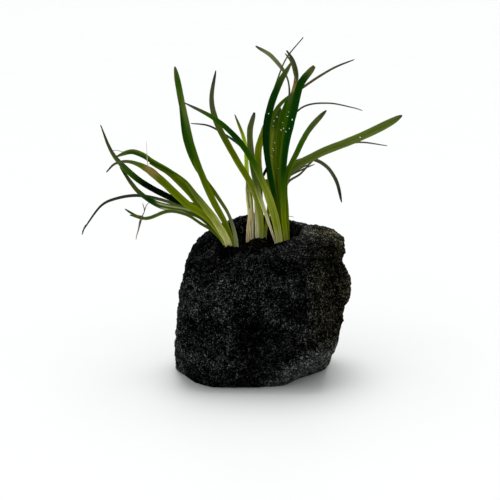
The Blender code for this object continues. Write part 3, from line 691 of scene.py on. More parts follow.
# a route is places across and up on the front drawing, and how far back each one lies;
# profile and colours are breadths and colours at shares of the length
blades = {
    "leaf_left_tall": {
        "width": 2.9, "turn": 28, "foot": (-12.4, -2.6),
        "route": ((-15.1, 62.7, -3.4), (-21.3, 74.4, -5.5), (-28.8, 92.5, -10.0), (-33.7, 111.5, -15.5),
            (-36.7, 126.8, -20.0), (-37.6, 131.9, -21.5)),
        "stripes": ((-1, 0.9, 0.52, 0.84, "deep"),),
        "colours": ((0, "lime"), (0.12, "spring"), (0.4, "olive"), (0.6, "green"), (0.78, "fern"),
            (0.92, "green"), (1, "moss"))},
    "leaf_left_second": {
        "width": 2.1, "turn": 24, "foot": (-10.8, -0.6),
        "profile": ((0, 0.85), (0.12, 0.80), (0.25, 0.64), (0.35, 0.75), (0.5, 0.95), (0.7, 1),
            (0.85, 0.75), (1, 0.2)),
        "route": ((-13.8, 66.7, -1.2), (-18.6, 74.9, -1.8), (-28.1, 88.2, -3.5), (-33.1, 100.2, -5.0),
            (-35.5, 114.4, -7.0)),
        "colours": ((0, "shine"), (0.2, "sage"), (0.3, "fern"), (0.42, "olive"), (0.7, "green"),
            (1, "deep"))},
    "leaf_left_arch": {
        "width": 3.2, "turn": 30, "foot": (-13.4, -5.6),
        "profile": ((0, 0.62), (0.15, 0.95), (0.30, 1), (0.40, 0.80), (0.50, 0.50), (0.62, 0.44),
            (0.72, 0.58), (0.80, 0.76), (0.86, 0.78), (0.94, 0.60), (1, 0.2)),
        "stripes": ((-0.6, 1.3, 0.60, 0.93, "deep"),),
        "route": ((-18.9, 63.6, -6.8), (-24.3, 71.0, -7.2), (-28.4, 76.2, -7.2), (-32.6, 81.9, -7.2),
            (-40.0, 87.2, -7.0), (-47.6, 91.2, -6.6), (-51.4, 93.6, -6.0), (-56.3, 95.1, -4.4),
            (-62.9, 93.0, -2.6)),
        "colours": ((0, "cream"), (0.16, "cream"), (0.28, "lime"), (0.42, "fern"), (0.58, "olive"),
            (0.8, "olive"), (1, "moss"))},
    "leaf_left_inner_arch": {
        "width": 3.2, "turn": 25, "foot": (-13.2, -3.7), "slot": "leaf_dark",
        "profile": ((0, 0.52), (0.14, 0.58), (0.3, 0.92), (0.5, 1), (0.75, 0.95), (0.9, 0.65), (1, 0.3)),
        "route": ((-22.6, 66.4, -4.2), (-27.3, 72.9, -4.4), (-33.3, 79.9, -4.5), (-40.2, 86.1, -4.4),
            (-48.4, 90.4, -4.1)),
        # a painted highlight along the upper edge
        "stripes": ((1, 0.36, 0.5, 0.9, "shine"),),
        "colours": ((0, "cream"), (0.14, "lime"), (0.35, "spring"), (0.7, "olive"), (1, "olive"))},
    "leaf_left_withered": {
        "width": 3.3, "turn": 28, "foot": (-15.0, -4.6), "crinkle": (0.67, 0.76, 0.35),
        "profile": ((0, 0.55), (0.3, 0.9), (0.5, 1), (0.70, 1.05), (0.76, 0.76), (0.83, 0.48), (0.90, 0.35),
            (0.96, 0.26), (1, 0.15)),
        "route": ((-22.5, 65.8, -5.8), (-32.4, 72.7, -7.4), (-42.7, 82.1, -10.2), (-49.7, 87.8, -12.6),
            (-57.0, 90.8, -15.2), (-63.1, 90.0, -17.4), (-67.0, 86.3, -19.0)),
        "stripes": ((0.2, 1.5, 0.655, 0.745, "dried"), (1, 0.3, 0.65, 0.76, "bark")),
        "colours": ((0, "cream"), (0.12, "lime"), (0.35, "spring"), (0.67, "olive"), (0.76, "olive"),
            (0.84, "moss"), (0.92, "slate"), (1, "soot"))},
    "leaf_left_pointed": {
        "width": 2.6, "turn": 20, "foot": (-14.4, -1.6),
        "profile": ((0, 0.62), (0.35, 0.9), (0.5, 1), (0.66, 1), (0.74, 0.95), (0.82, 0.68), (0.86, 0.57),
            (0.93, 0.42), (1, 0.15)),
        "stripes": ((1, 0.8, 0.74, 0.98, "night"), (-1, 0.5, 0.74, 0.98, "fern")),
        "route": ((-25.0, 69.5, -2.9), (-37.3, 74.4, -5.2), (-50.8, 81.4, -7.6), (-59.4, 88.5, -9.4),
            (-64.8, 95.2, -10.6), (-69.5, 106.7, -12.0)),
        "colours": ((0, "spring"), (0.2, "olive"), (0.32, "night"), (0.62, "night"), (0.72, "green"),
            (0.82, "moss"), (1, "soot"))},
    "leaf_left_low": {
        "width": 3.0, "turn": 24, "foot": (-15.0, -0.5), "slot": "leaf_dark",
        "profile": ((0, 0.5), (0.3, 0.8), (0.45, 1), (0.6, 0.95), (0.72, 0.7), (0.85, 0.62),
            (0.95, 0.45), (1, 0.2)),
        # painted highlight streaks
        "stripes": ((0.33, 0.4, 0.40, 0.64, "shine"), (-0.67, 0.3, 0.44, 0.60, "shine")),
        "route": ((-24.5, 65.8, -1.4), (-32.4, 69.7, -1.8), (-44.7, 72.4, -2.2), (-53.5, 78.3, -1.8),
            (-61.1, 88.7, -1.0)),
        "colours": ((0, "lime"), (0.25, "olive"), (0.45, "moss"), (0.7, "deep"), (0.85, "moss"),
            (1, "night"))},
    "leaf_left_drooping": {
        "width": 1.9, "turn": 60, "foot": (-12.9, 0.6), "pointed": True, "slot": "leaf_dark",
        "route": ((-23.2, 64.9, 0.8), (-32.4, 70.3, 1.4), (-43.5, 74.4, 3.0), (-54.6, 76.2, 6.0),
            (-64.8, 74.3, 9.5), (-69.8, 71.2, 11.5), (-77.4, 60.7, 14.0)),
        "colours": ((0, "lime"), (0.25, "green"), (0.42, "moss"), (0.56, "soot"), (1, "soot"))},
    "leaf_left_lowest": {
        "width": 1.6, "turn": 40, "foot": (-15.4, -2.9),
        "profile": ((0, 0.65), (0.2, 0.85), (0.5, 0.85), (0.7, 1.1), (0.85, 1), (0.95, 0.6), (1, 0.25)),
        "stripes": ((0, 0.34, 0.25, 0.85, "deep"), (-1, 0.5, 0.3, 0.9, "fern")),
        "route": ((-19.9, 60.0, -3.5), (-26.3, 64.2, -4.8), (-32.6, 68.0, -6.4), (-40.3, 69.5, -9.0),
            (-49.7, 66.4, -13.0), (-57.0, 67.9, -16.0)),
        "colours": ((0, "spring"), (0.3, "fern"), (0.55, "fern"), (0.85, "moss"), (0.94, "moss"),
            (1, "soot"))},
    "sheath_left": {
        "width": 2.3, "turn": 10, "foot": (-14.2, -6.7), "pointed": True, "slot": "leaf_sheath",
        "route": ((-16.3, 59.9, -7.3), (-19.7, 65.3, -7.8)),
        "colours": ((0, "ivory"), (0.45, "cream"), (1, "lime"))},
    "leaf_centre_tall": {
        "width": 2.8, "turn": 24, "foot": (-0.6, 0.9), "pointed": True,
        "route": ((-0.6, 66.1, 0.6), (-3.8, 78.9, 0.0), (-12.2, 93.6, -1.4), (-19.8, 108.2, -3.4),
            (-21.8, 118.1, -4.6), (-19.9, 130.2, -5.5)),
        "colours": ((0, "cream"), (0.12, "lime"), (0.3, "lime"), (0.42, "spring"), (0.6, "olive"),
            (0.75, "moss"), (0.9, "slate"), (1, "soot"))},
    "leaf_centre_yellow": {
        "width": 1.9, "turn": 20, "foot": (-4.8, 2.6), "taperFrom": 0.66, "slot": "leaf_olive",
        "route": ((-5.6, 72.2, 3.0), (-6.7, 88.2, 4.0), (-7.5, 99.3, 5.0), (-11.8, 111.3, 6.5)),
        "colours": ((0, "cream"), (0.3, "lime"), (0.42, "acid"), (0.76, "acid"), (0.9, "spring"),
            (1, "slate"))},
    "leaf_centre_olive": {
        "width": 3.1, "turn": -22, "foot": (-1.4, 2.8), "slot": "leaf_olive",
        "route": ((-1.2, 72.2, 3.6), (-1.1, 85.1, 5.0), (-1.5, 96.1, 6.6), (0.9, 103.8, 8.4),
            (2.6, 109.6, 10.0)),
        "colours": ((0, "cream"), (0.4, "fern"), (0.7, "spring"), (1, "spring"))},
    "leaf_centre_short": {
        "width": 2.1, "turn": -10, "foot": (1.0, 2.2),
        "profile": ((0, 0.62), (0.3, 0.65), (0.6, 0.8), (0.85, 1), (0.95, 0.8), (1, 0.4)),
        "route": ((1.5, 61.1, 2.3), (2.8, 70.0, 2.7), (3.2, 76.0, 3.1), (1.8, 83.4, 3.6)),
        "colours": ((0, "cream"), (0.3, "lime"), (1, "spring"))},
    "sheath_tan": {
        "width": 1.4, "turn": 15, "foot": (-6.3, -0.2), "pointed": True, "slot": "leaf_sheath",
        "route": ((-6.1, 61.5, -0.6), (-5.6, 66.1, -0.8), (-5.3, 70.8, -1.0)),
        "colours": ((0, "straw"), (0.4, "pink"), (0.8, "straw"), (1, "cream"))},
    "sheath_pale_tall": {
        "width": 3.0, "turn": 5, "foot": (-4.2, 0.9), "slot": "leaf_sheath",
        "profile": ((0, 0.50), (0.3, 0.55), (0.5, 0.8), (0.75, 1), (0.9, 0.75), (1, 0.3)),
        "stripes": ((0.67, 0.34, 0.15, 0.85, "bark"), (-0.33, 0.34, 0.2, 0.85, "umber")),
        "route": ((-4.3, 59.1, 0.8), (-4.8, 68.5, 0.9), (-5.6, 76.0, 1.1), (-6.4, 82.5, 1.3)),
        "colours": ((0, "ivory"), (0.35, "ivory"), (0.75, "cream"), (1, "moss"))},
    "sheath_pale_short": {
        "width": 1.7, "turn": 5, "foot": (-2.3, 1.8), "pointed": True, "slot": "leaf_sheath",
        "route": ((-2.2, 59.4, 1.9), (-2.4, 68.0, 2.1), (-3.0, 76.5, 2.4)),
        "colours": ((0, "ivory"), (0.6, "ivory"), (1, "cream"))},
    "leaf_right_crossing": {
        "width": 3.3, "turn": 24, "foot": (7.4, -3.2), "slot": "leaf_olive",
        "profile": ((0, 0.72), (0.1, 0.88), (0.2, 1.03), (0.3, 1), (0.4, 0.87), (0.55, 0.80), (0.7, 0.75),
            (0.85, 0.58), (0.95, 0.35), (1, 0.13)),
        "route": ((6.7, 61.5, -3.5), (3.6, 73.1, -4.4), (-2.6, 88.2, -6.2), (-9.7, 99.3, -8.4),
            (-19.8, 108.9, -11.2), (-33.4, 116.2, -14.0)),
        "colours": ((0, "ivory"), (0.06, "cream"), (0.16, "lime"), (0.32, "lime"), (0.5, "green"),
            (0.7, "deep"), (0.86, "green"), (0.95, "slate"), (1, "soot"))},
    "leaf_right_brown": {
        "width": 2.8, "turn": 20, "foot": (5.9, -1.6), "slot": "leaf_brown",
        "profile": ((0, 0.32), (0.12, 0.32), (0.25, 0.46), (0.4, 0.72), (0.55, 0.92), (0.7, 1), (0.9, 0.95),
            (0.97, 0.7), (1, 0.3)),
        "route": ((3.9, 61.5, -1.7), (-2.0, 78.9, -2.0), (-4.4, 91.5, -1.8), (-5.3, 104.0, -1.0),
            (-3.3, 112.1, 0.0)),
        "colours": ((0, "ivory"), (0.22, "ivory"), (0.36, "cream"), (0.5, "fern"), (0.62, "moss"),
            (0.9, "moss"), (0.97, "slate"), (1, "soot"))},
    "leaf_right_hair": {
        "width": 1.8, "turn": 68, "foot": (6.0, 5.6), "pointed": True,
        "route": ((4.3, 67.9, 6.4), (-1.7, 86.4, 8.4), (-8.2, 96.3, 10.4), (-15.9, 102.3, 12.8),
            (-23.0, 106.3, 15.2), (-30.7, 107.3, 18.0)),
        "colours": ((0, "lime"), (0.4, "olive"), (0.6, "moss"), (0.72, "soot"), (1, "soot"))},
    "leaf_right_dark": {
        "width": 3.2, "turn": -22, "foot": (8.9, -2.1), "slot": "leaf_dark",
        "profile": ((0, 0.35), (0.2, 0.38), (0.3, 0.54), (0.37, 0.75), (0.5, 0.82), (0.6, 1), (0.8, 1),
            (0.88, 0.9), (0.95, 0.7), (1, 0.3)),
        "route": ((7.9, 66.1, -2.4), (4.1, 82.4, -3.0), (1.9, 97.6, -3.8), (2.6, 109.6, -4.4),
            (6.7, 122.8, -5.0), (12.4, 133.2, -5.4)),
        "stripes": ((-1, 0.5, 0.3, 0.75, "night"),),
        "colours": ((0, "cream"), (0.05, "lime"), (0.18, "olive"), (0.32, "deep"), (0.45, "forest"),
            (0.7, "forest"), (0.85, "deep"), (1, "moss"))},
    "leaf_right_blunt": {
        "width": 3.2, "turn": -22, "foot": (10.2, -3.9),
        "profile": ((0, 0.6), (0.25, 0.65), (0.4, 0.72), (0.55, 0.86), (0.65, 0.97), (0.8, 1), (0.93, 0.97),
            (0.975, 0.8), (1, 0.45)),
        "route": ((9.4, 66.1, -4.7), (9.1, 81.7, -5.6), (10.3, 97.0, -6.8), (13.9, 113.1, -8.6),
            (16.6, 124.1, -10.0), (22.6, 132.0, -11.2)),
        "colours": ((0, "cream"), (0.06, "lime"), (0.16, "spring"), (0.34, "green"), (0.45, "deep"),
            (0.92, "deep"), (0.97, "moss"), (1, "umber"))},
    "leaf_right_tan": {
        "width": 2.6, "turn": -20, "foot": (8.6, -0.7), "slot": "leaf_brown", "crinkle": (0.80, 1.0, 0.25),
        "profile": ((0, 0.55), (0.35, 1), (0.75, 1), (0.82, 0.86), (0.9, 0.7), (0.96, 0.5), (1, 0.2)),
        "route": ((9.2, 66.2, -0.5), (8.2, 83.0, -0.4), (9.7, 100.2, 0.2), (12.6, 116.1, 1.2),
            (14.8, 126.8, 2.2), (13.6, 134.0, 3.2), (10.5, 138.8, 4.0)),
        "colours": ((0, "lime"), (0.3, "olive"), (0.72, "green"), (0.78, "moss"), (0.795, "dried"),
            (0.825, "dried"), (0.845, "slate"), (0.94, "slate"), (1, "soot"))},
    "leaf_right_top": {
        "width": 2.2, "turn": -66, "foot": (6.6, 1.2), "slot": "leaf_olive",
        "profile": ((0, 0.6), (0.3, 0.9), (0.6, 0.9), (0.75, 0.6), (0.85, 0.42), (1, 0.2)),
        "route": ((6.8, 66.2, 1.6), (4.5, 83.0, 2.4), (3.0, 100.2, 3.8), (3.7, 115.7, 5.6),
            (6.5, 125.3, 7.4), (10.4, 135.1, 9.6), (17.8, 144.4, 12.5)),
        "colours": ((0, "lime"), (0.5, "olive"), (0.7, "moss"), (0.82, "slate"), (1, "soot"))},
    "leaf_right_back_left": {
        "width": 2.0, "turn": 25, "foot": (9.4, 6.6),
        "profile": ((0, 0.6), (0.3, 0.9), (0.6, 0.9), (0.70, 0.5), (0.77, 0.34), (0.80, 0.42), (0.84, 0.85),
            (0.88, 1), (0.93, 0.95), (0.975, 0.7), (1, 0.3)),
        "route": ((8.6, 68.4, 7.2), (7.7, 87.3, 8.4), (10.1, 106.6, 11.2), (11.4, 124.7, 14.0),
            (4.8, 135.4, 15.4), (-2.8, 140.6, 16.5)),
        "colours": ((0, "lime"), (0.5, "green"), (0.78, "slate"), (0.86, "sage"), (0.95, "sage"),
            (1, "soot"))},
    "leaf_right_back_right": {
        "width": 2.6, "turn": -35, "foot": (6.6, 8.0),
        "profile": ((0, 0.5), (0.3, 0.75), (0.48, 0.95), (0.58, 0.9), (0.66, 0.6), (0.74, 0.46),
            (0.85, 0.44), (0.95, 0.32), (1, 0.15)),
        "route": ((6.0, 67.9, 8.8), (3.0, 85.1, 10.8), (2.8, 102.3, 13.6), (7.2, 114.6, 16.2),
            (17.3, 122.6, 19.0), (30.5, 131.0, 22.0), (39.7, 134.8, 24.0)),
        "colours": ((0, "lime"), (0.5, "olive"), (0.68, "green"), (0.78, "umber"), (0.92, "slate"),
            (1, "soot"))},
    "leaf_right_middle": {
        "width": 3.5, "turn": 15, "foot": (7.8, 2.6), "slot": "leaf_olive",
        "route": ((7.2, 73.1, 4.6), (4.6, 89.9, 6.9), (4.9, 103.5, 8.9), (7.8, 114.2, 10.6)),
        "stripes": ((0.4, 0.4, 0.35, 0.9, "green"), (-0.2, 0.8, 0.5, 0.84, "lime"),
            (-0.8, 0.3, 0.5, 0.95, "moss")),
        "colours": ((0, "lime"), (0.4, "spring"), (0.75, "spring"), (0.92, "green"), (1, "umber"))},
    "leaf_right_inner": {
        "width": 3.0, "turn": -12, "foot": (9.4, 0.9), "slot": "leaf_dark",
        "profile": ((0, 0.45), (0.25, 0.55), (0.4, 0.9), (0.55, 1), (0.9, 0.95), (1, 0.4)),
        "route": ((8.6, 72.2, 2.6), (7.6, 91.6, 3.3), (8.1, 106.6, 4.2), (10.9, 117.6, 5.2)),
        "colours": ((0, "cream"), (0.1, "lime"), (0.4, "olive"), (1, "green"))},
    "leaf_right_thin_arch": {
        "width": 1.4, "turn": -70, "foot": (10.8, 9.1), "pointed": True, "slot": "leaf_dark",
        "route": ((9.6, 67.9, 10.8), (9.0, 87.3, 14.2), (11.0, 105.3, 17.4), (17.1, 114.0, 19.4),
            (28.3, 116.0, 21.4), (39.3, 114.0, 23.0), (43.2, 112.8, 23.6)),
        "colours": ((0, "lime"), (0.4, "green"), (0.6, "moss"), (0.7, "soot"), (1, "slate"))},
    "leaf_right_forward": {
        "width": 2.4, "turn": -25, "foot": (10.7, -2.3), "slot": "leaf_olive",
        "route": ((10.5, 67.9, -3.0), (10.2, 83.0, -3.9), (14.7, 94.1, -6.0), (20.0, 104.2, -9.4),
            (27.7, 113.0, -14.5)),
        "colours": ((0, "lime"), (0.15, "spring"), (0.45, "olive"), (0.7, "green"), (0.92, "moss"),
            (1, "soot"))},
    "leaf_right_long": {
        "width": 3.5, "turn": -26, "foot": (10.4, 0.1),
        "route": ((10.0, 67.9, 1.0), (10.5, 84.5, 1.3), (23.0, 93.5, -2.0), (40.5, 100.7, -7.0),
            (53.7, 106.9, -11.5), (60.3, 110.8, -14.0)),
        "colours": ((0, "lime"), (0.3, "olive"), (0.4, "fern"), (0.95, "fern"),
            (0.985, "moss"), (1, "soot"))},
    "leaf_right_thin": {
        "width": 1.5, "turn": -70, "foot": (11.2, 2.1), "pointed": True,
        "route": ((10.6, 67.9, 2.9), (10.7, 81.0, 3.6), (16.4, 85.4, 4.2), (23.4, 92.4, 4.4),
            (39.3, 98.9, 4.0), (53.9, 97.7, 3.0)),
        "colours": ((0, "lime"), (0.35, "moss"), (0.5, "slate"), (1, "slate"))},
    "leaf_right_drooping": {
        "width": 1.7, "turn": -30, "foot": (8.4, 8.5),
        "route": ((8.2, 69.2, 9.1), (9.8, 86.4, 10.6), (18.5, 92.0, 10.9), (26.5, 89.7, 11.4),
            (31.8, 82.7, 12.2), (34.2, 73.3, 12.8)),
        "colours": ((0, "lime"), (0.4, "moss"), (0.6, "slate"), (0.8, "slate"), (0.93, "soot"), (1, "soot"))},
    "leaf_right_small": {
        "width": 1.3, "turn": -40, "foot": (11.4, 5.9), "pointed": True, "slot": "leaf_dark",
        "route": ((10.1, 67.9, 5.7), (10.2, 82.6, 6.2), (15.6, 87.5, 7.4), (20.8, 90.0, 7.8)),
        "colours": ((0, "lime"), (0.5, "moss"), (0.7, "slate"), (1, "slate"))},
}

# split ends and a sliver beside the blades above: they have no foot, and start at their first place
splits = {
    "splitTanTip": {
        "width": 1.0, "turn": 10, "pointed": True, "slot": "leaf_brown",
        "route": ((14.4, 125.4, 1.5), (14.1, 127.8, 1.5), (13.3, 131.5, 2.0), (12.1, 134.6, 2.4),
            (9.8, 137.5, 2.8)),
        "colours": ((0, "dried"), (0.2, "moss"), (0.7, "moss"), (1, "slate"))},
    "splitLowestTip": {
        "width": 1.0, "turn": 20, "pointed": True, "slot": "leaf_green",
        "route": ((-51.0, 66.6, -13.6), (-54.0, 67.6, -14.9), (-56.6, 69.0, -16.1), (-59.1, 70.6, -17.2)),
        "colours": ((0, "spring"), (0.5, "moss"), (1, "soot"))},
    "splitDroopingTip": {
        "width": 0.6, "turn": 20, "pointed": True, "slot": "leaf_dark",
        "route": ((-75.6, 63.7, 13.2), (-76.6, 62.0, 13.5), (-77.4, 59.4, 13.9)),
        "colours": ((0, "soot"), (1, "soot"))},
    "splitSmallTip": {
        "width": 0.7, "turn": 10, "pointed": True, "slot": "leaf_dark",
        "route": ((10.3, 82.9, 6.2), (12.6, 85.1, 6.4), (17.2, 87.5, 6.9), (22.8, 89.9, 7.4)),
        "colours": ((0, "moss"), (0.3, "slate"), (1, "slate"))},
    "sliverCentre": {
        "width": 1.3, "turn": 10, "slot": "leaf_dark",
        "route": ((0.4, 66.0, 4.4), (-1.6, 76.0, 6.6), (-0.3, 83.2, 8.2), (1.7, 87.4, 9.0),
            (3.4, 91.0, 10.0)),
        "colours": ((0, "lime"), (0.5, "green"), (0.7, "night"), (1, "night"))},
}


def bladeHalfWidth(facts, share):
    half = facts["width"] / 2
    profile = facts.get("profile", ())
    for (low, first), (high, second) in zip(profile, profile[1:]):
        if share <= high:
            return half * (first + (second - first) * (share - low) / (high - low))
    foot = bladeForm["footWidth"]
    swell = foot + (1 - foot) * ease(share / bladeForm["swellTo"])
    taperFrom = facts.get("taperFrom", bladeForm["pointedFrom" if facts.get("pointed") else "bluntFrom"])
    taper = max((share - taperFrom) / (1 - taperFrom), 0.0)
    return half * swell * max(math.sqrt(1 - taper ** 2), bladeForm["tipShare"])


def blend(first, second, part):
    return [a + (b - a) * part for a, b in zip(first, second)]


def bladeColour(facts, share, side):
    stops = facts["colours"]
    colour = palette[stops[-1][1]]
    for (low, first), (high, second) in zip(stops, stops[1:]):
        if share <= high:
            colour = blend(palette[first], palette[second], (share - low) / (high - low))
            break
    # a stripe is its place across the blade, half its breadth, where it starts and ends, and its colour
    fade = bladeForm["stripeFade"]
    for middle, breadth, start, end, name in facts.get("stripes", ()):
        near = 1 - ease(abs(side - middle) / breadth)
        near *= ease((share - start) / fade + 0.5) * ease((end - share) / fade + 0.5)
        colour = blend(colour, palette[name], near)
    return colour


def makeBlade(name, facts, seed):
    form = bladeForm
    knots = seenRoute(facts["route"])
    if "foot" in facts:
        foot = Vector((*facts["foot"], form["crownTop"]))
        route = [foot - Vector((0, 0, form["rootBelow"]))] + smoothRoute([foot] + knots)
    else:
        route = smoothRoute(knots)
    lengths = [0.0]
    for before, after in zip(route, route[1:]):
        lengths.append(lengths[-1] + (after - before).length)
    blade = addObject(name, masterBlade.data.copy())
    mesh = blade.data
    paint = mesh.attributes.new("bladeColour", "FLOAT_COLOR", "POINT")
    towardsEye = Vector((0, -1, 0))
    crinkle = facts.get("crinkle", (0, 0, 0))
    sections = {}
    for point in mesh.vertices:
        station = round((point.co.x + 1) / 2 * form["stations"])
        if station not in sections:
            share = 1 - (1 - station / form["stations"]) ** form["tipCrowding"]
            middle = pointAlong(route, lengths, share)
            ahead = pointAlong(route, lengths, share + form["nearby"])
            behind = pointAlong(route, lengths, share - form["nearby"])
            along = (ahead - behind).normalized()
            angle = math.radians(facts["turn"]) * ease(share / form["turnedBy"])
            level = along.cross(towardsEye).normalized()
            across = level * math.cos(angle) - level.cross(along) * math.sin(angle)
            sections[station] = (share, middle, across, across.cross(along))
        share, middle, across, face = sections[station]
        side = point.co.y
        half = bladeHalfWidth(facts, share)
        # each noise is read along the blade, across it, and at a place of its own for each blade
        ragged = form["ragged"] * noise.noise(Vector((share * 26, side * 0.6, seed * 3.1)))
        push = form["wave"] * noise.noise(Vector((share * 7, 0.4, seed * 5.3)))
        if crinkle[0] < share < crinkle[1]:
            push += crinkle[2] * noise.noise(Vector((share * 160, side * 2.4, seed)))
        fold = point.co.z * half * (1 + form["footFold"] * (1 - ease(share / form["footEnd"])))
        reach = half * side * (1 + ragged)
        point.co = (middle + across * reach + face * (fold + push)) * mm
        paint.data[point.index].color = (*bladeColour(facts, share, side), 1)
    wall = blade.modifiers.new("thickness", "SOLIDIFY")
    wall.thickness = form["thickness"] * mm
    wall.offset = 0
    smooth = blade.modifiers.new("smooth", "SUBSURF")
    smooth.levels = smooth.render_levels = 1
    applyModifiers(blade)
    mesh.shade_smooth()
    return blade


bladePieces = {}
for seed, (node, facts) in enumerate(blades.items()):
    name = "".join(word.title() for word in node.split("_"))
    piece = makeBlade("blade" + name, facts, seed)
    dress(piece, "blade", node)
    bladePieces[node] = piece
for seed, (name, facts) in enumerate(splits.items()):
    dress(makeBlade(name, facts, seed + 50), "blade")
print("blades", len(bladePieces) + len(splits))


def makeThread(name, skin, runs):
    # thin round threads: each run is a route and the radius at each of its points
    curve = bpy.data.curves.new(name, "CURVE")
    curve.dimensions = "3D"
    curve.bevel_depth = mm
    curve.bevel_resolution = 2
    curve.use_fill_caps = True
    for route, radii in runs:
        spline = curve.splines.new("NURBS")
        spline.points.add(len(route) - 1)
        spline.use_endpoint_u = True
        spline.order_u = 4
        spline.resolution_u = 8
        for point, place, radius in zip(spline.points, route, radii):
            point.co = (*(place * mm), 1)
            point.radius = radius
    pick(addObject(name, curve))
    bpy.ops.object.convert(target="MESH")
    thread = bpy.context.object
    startEdit(thread, chosen="SELECT")
    bpy.ops.mesh.remove_doubles(threshold=0.001 * mm)
    bpy.ops.mesh.normals_make_consistent(inside=False)
    endEdit()
    thread.data.shade_smooth()
    dress(thread, skin)


forkedThread = {
    "left": ((-51.4, 73.0, -13.8), (-51.0, 71.6, -14.2), (-50.4, 70.5, -14.6), (-50.7, 69.2, -14.9)),
    "right": ((-48.7, 73.2, -13.0), (-49.9, 72.4, -13.6), (-50.3, 70.8, -14.5), (-50.7, 69.2, -14.9)),
    "stem": ((-50.7, 69.2, -14.9), (-51.4, 67.8, -15.2), (-51.9, 66.6, -15.2), (-52.3, 65.4, -15.1),
             (-52.6, 64.2, -15.0), (-53.4, 60.4, -14.8), (-54.1, 58.8, -14.7), (-54.2, 57.4, -14.6)),
    "stemRadii": (0.20, 0.22, 0.36, 0.54, 0.46, 0.22, 0.17, 0.12),
    "forkRadii": (0.13, 0.18, 0.21, 0.20),
}
forks = [(seenRoute(forkedThread[side]), forkedThread["forkRadii"]) for side in ("left", "right")]
stem = (seenRoute(forkedThread["stem"]), forkedThread["stemRadii"])
makeThread("forkedThread", "withered", forks + [stem])

witheredHair = ((-49.0, 88.6, -12.9), (-49.4, 91.2, -13.3), (-49.5, 94.0, -13.4), (-49.6, 97.0, -13.4),
                (-49.8, 99.8, -13.3))
archCurl = ((-64.9, 95.6, -2.0), (-62.5, 96.0, -2.4), (-60.2, 95.4, -2.9), (-58.0, 94.4, -3.4))
rimFibre = ((9.9, 66.6, 9.5), (11.3, 67.6, 9.8), (12.4, 67.5, 10.0), (13.6, 67.0, 10.4))
makeThread("paleHairs", "hair", (
    (seenRoute(witheredHair), (0.16, 0.14, 0.12, 0.09, 0.07)),
    (seenRoute(archCurl), (0.10, 0.20, 0.20, 0.12)),
    (seenRoute(rimFibre), (0.14, 0.17, 0.15, 0.10)),
))


def touching(piece, across, up, gap):
    # the place on a piece that shows there, a little in front of it, and the way its face points
    ray = (sideways * across + upward * up - eyePlace).normalized()
    hit, where, facing = piece.ray_cast(eyePlace * mm, ray)[:3]
    return (where / mm - ray * gap, facing) if hit else None


rootCurl = {
    "places": ((-9.3, 63.0), (-8.6, 62.6), (-8.1, 61.6), (-8.3, 60.6), (-9.0, 60.0), (-9.4, 60.6)),
    "gap": 0.35,
    "radius": 0.19,
}
curlPlaces = [touching(rockPiece, *place, rootCurl["gap"]) for place in rootCurl["places"]]
curlRoute = [found[0] for found in curlPlaces if found]
if len(curlRoute) > 3:
    makeThread("rootCurl", "root", ((curlRoute, (rootCurl["radius"],) * len(curlRoute)),))

rootFibres = {
    "count": 26,
    "spread": 0.85,
    "stride": 0.9,
    "bend": 0.7,
    "sunk": 0.8,
    "above": (0.25, 0.75),
    "radii": (0.05, 0.10, 0.11, 0.11, 0.09, 0.05),
}


def fibreRuns():
    facts = rootFibres
    spread, bend, stride = facts["spread"], facts["bend"], facts["stride"]
    lowest = growingMedium["surface"] - facts["sunk"]
    runs = []
    while len(runs) < facts["count"]:
        x = hollow["x"] + chance.uniform(-spread, spread) * growingMedium["halfWidth"]
        y = hollow["y"] + chance.uniform(-spread, spread) * growingMedium["halfDepth"]
        heading = chance.uniform(0, math.tau)
        route = []
        for radius in facts["radii"]:
            place = landing(mediumPiece, x, y)
            if place is None:
                break
            route.append(Vector((x, y, max(place.z / mm, lowest) + chance.uniform(*facts["above"]))))
            heading += chance.uniform(-bend, bend)
            x += math.cos(heading) * stride
            y += math.sin(heading) * stride
        if len(route) == len(facts["radii"]):
            runs.append((route, facts["radii"]))
    return runs


makeThread("rootFibres", "fibre", fibreRuns())
print("threads and fibres")

limeFlecks = {
    "places": ((6.4, 110.1), (5.0, 108.2), (10.9, 110.3), (11.4, 112.2), (11.7, 105.1), (10.2, 103.8),
               (9.2, 105.1), (4.5, 96.5), (4.0, 93.5), (2.8, 111.5), (5.4, 99.0), (7.0, 88.0),
               (42.1, 101.3), (8.8, 107.6), (4.7, 106.2), (5.1, 108.4), (6.6, 110.1), (8.1, 104.5),
               (12.9, 108.9), (4.9, 95.7), (4.3, 92.9)),
    "size": (0.20, 0.36),
}


def makeFlecks():
    spots = []
    for across, up in limeFlecks["places"]:
        nearest = None
        for piece in bladePieces.values():
            found = touching(piece, across, up, 0.0)
            if found and (nearest is None or found[0].y < nearest[0].y):
                nearest = found
        if nearest:
            size = chance.uniform(*limeFlecks["size"]) * mm
            turn = tuple(nearest[1].to_track_quat("Z", "Y").to_euler())
            spots.append((nearest[0] * mm, turn, (size, size * chance.uniform(0.6, 1.6), size * 0.45)))
    if spots:
        dress(scatterCopies(crumbMaster, "limeFlecks", spots), "lime")
    print("flecks", len(spots))


makeFlecks()
for master in (crumbMaster, masterBlade):
    bpy.data.objects.remove(master)

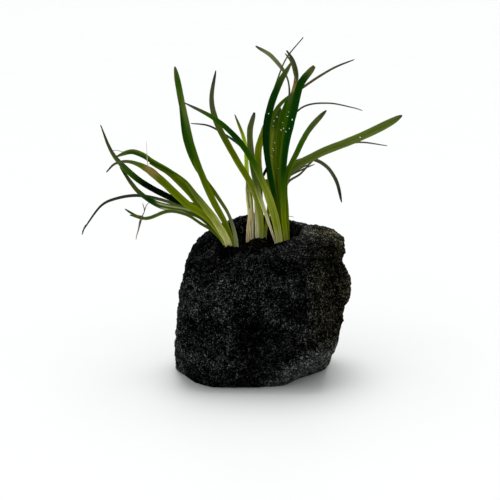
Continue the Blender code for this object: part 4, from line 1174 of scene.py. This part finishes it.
studio = {
    "floorSize": 9.0,
    "overhead": {"from": (0.02, 0.28, 1.15), "spread": 45, "strength": 1.45},
    "leftFill": {"from": (-0.35, -0.85, 0.80), "spread": 80, "strength": 0.52},
    "sky": 0.60,
}


def addLight(name, facts):
    # a wide soft light from far away, so that the whole floor is lit alike
    light = bpy.data.lights.new(name, "SUN")
    light.angle = math.radians(facts["spread"])
    light.energy = facts["strength"]
    lamp = addObject(name, light)
    lamp.location = facts["from"]
    lamp.rotation_euler = Vector(facts["from"]).to_track_quat("Z", "Y").to_euler()


def makeStudio():
    deselect()
    bpy.ops.mesh.primitive_plane_add(size=studio["floorSize"], location=(0, 0, -0.0001))
    floor = bpy.context.object
    floor.name = "floor"
    bakePlace(floor)
    floor.data.materials.append(floorSkin())
    for name in ("overhead", "leftFill"):
        addLight(name + "Light", studio[name])
    world = bpy.data.worlds.new("studio")
    bpy.context.scene.world = world
    world.use_nodes = True
    tree = world.node_tree
    sky = tree.nodes["Background"]
    sky.inputs["Color"].default_value = (1, 1, 1, 1)
    sky.inputs["Strength"].default_value = studio["sky"]
    backdrop = tree.nodes.new("ShaderNodeBackground")
    backdrop.inputs["Color"].default_value = (1, 1, 1, 1)
    ray = tree.nodes.new("ShaderNodeLightPath")
    mix = tree.nodes.new("ShaderNodeMixShader")
    tree.links.new(ray.outputs["Is Camera Ray"], mix.inputs[0])
    tree.links.new(sky.outputs[0], mix.inputs[1])
    tree.links.new(backdrop.outputs[0], mix.inputs[2])
    tree.links.new(mix.outputs[0], tree.nodes["World Output"].inputs[0])


def makeCamera():
    lens = bpy.data.cameras.new("camera")
    lens.sensor_width = eye["sensor"]
    lens.lens = eye["sensor"] * eye["distance"] / eye["width"]
    lens.clip_start = 0.01
    camera = addObject("camera", lens)
    camera.location = eyePlace * mm
    camera.rotation_euler = (math.radians(90 - eye["elevation"]), 0, 0)
    bpy.context.scene.camera = camera


makeStudio()
makeCamera()
bpy.context.scene.view_settings.view_transform = "Standard"
print("studio and camera")
